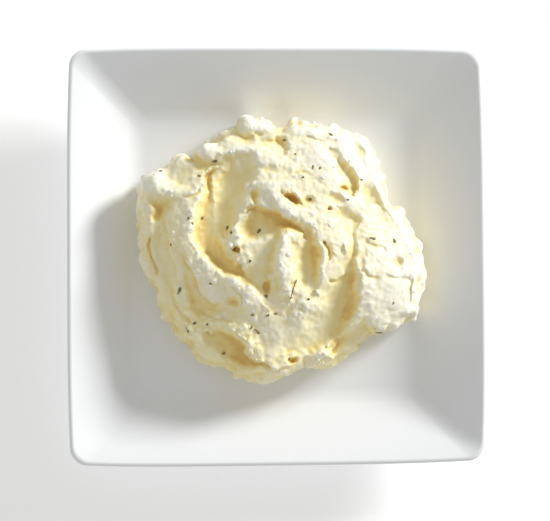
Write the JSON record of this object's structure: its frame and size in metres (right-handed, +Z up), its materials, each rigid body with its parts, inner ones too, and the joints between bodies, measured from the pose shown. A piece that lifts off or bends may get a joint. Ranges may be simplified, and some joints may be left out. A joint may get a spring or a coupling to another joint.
{
  "type": "mashed potato side",
  "caption": "Swirled heap of mashed potato with herb flecks, served on a square white side plate with sloping walls.",
  "frame": {"origin": "centre of the plate at the level of the foot ring's underside", "axes": "+Z up through the heap; +X and +Y along the sides of the square plate, +X to the right and +Y to the back"},
  "size_m": [0.18, 0.18, 0.0444],
  "materials": {
    "porcelain": "gloss",
    "potato": "satin",
    "herb": "matte"
  },
  "bodies": {
    "root": {"plate": "porcelain", "mash": "potato"}
  },
  "joints": []
}
